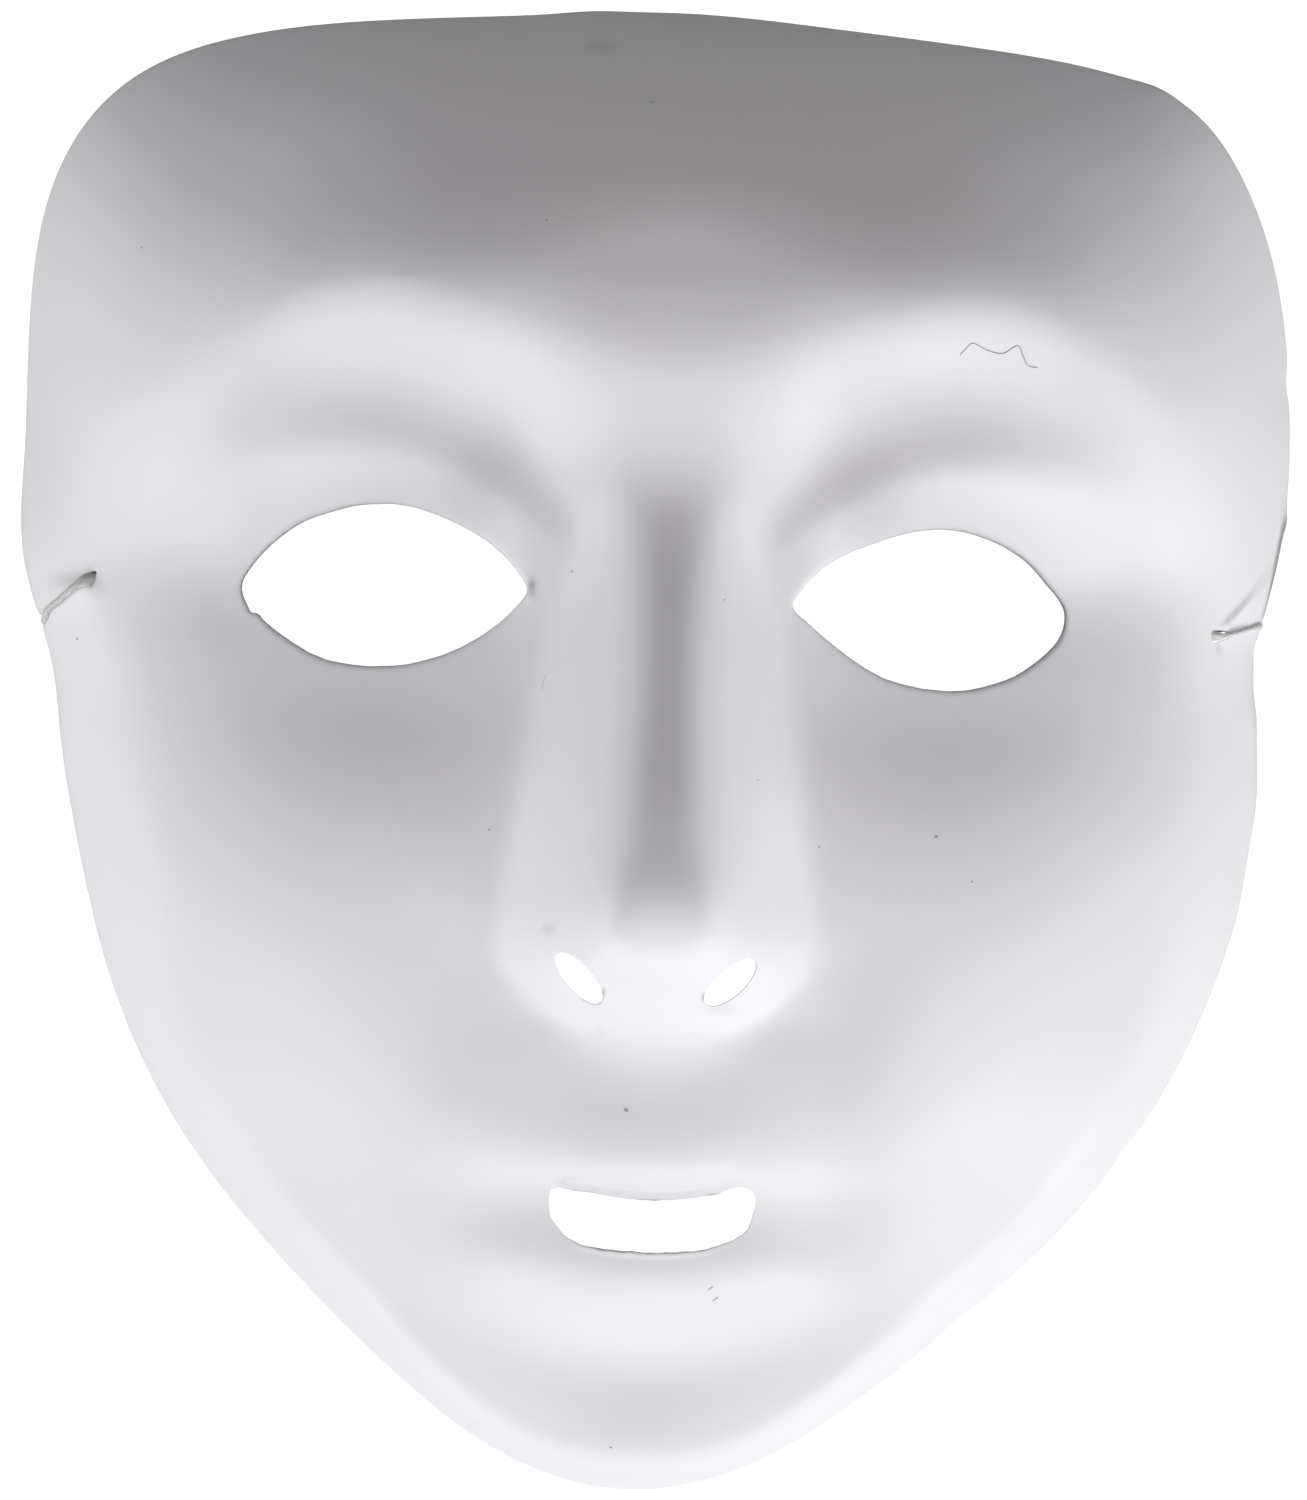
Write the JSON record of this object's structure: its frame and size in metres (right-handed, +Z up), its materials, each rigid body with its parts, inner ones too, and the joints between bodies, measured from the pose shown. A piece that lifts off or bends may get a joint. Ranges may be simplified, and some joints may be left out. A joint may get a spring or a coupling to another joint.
{
  "type": "blank face mask",
  "caption": "Blank white full-face mask formed from one thin plastic sheet, with eye, nostril and mouth openings and an elastic band, lying face up",
  "frame": {"origin": "on the table under the middle of the mask's bounding box", "axes": "+Z up, out of the face through the nose; +Y from the chin to the forehead; +X to the right as seen from the front"},
  "size_m": [0.1788, 0.2082, 0.0709],
  "materials": {
    "white_plastic": "satin",
    "white_elastic": "matte braid"
  },
  "bodies": {
    "root": {"mask_shell": "white_plastic", "elastic_loop_left": "white_elastic", "elastic_loop_right": "white_elastic", "elastic_cord": "white_elastic"}
  },
  "joints": []
}
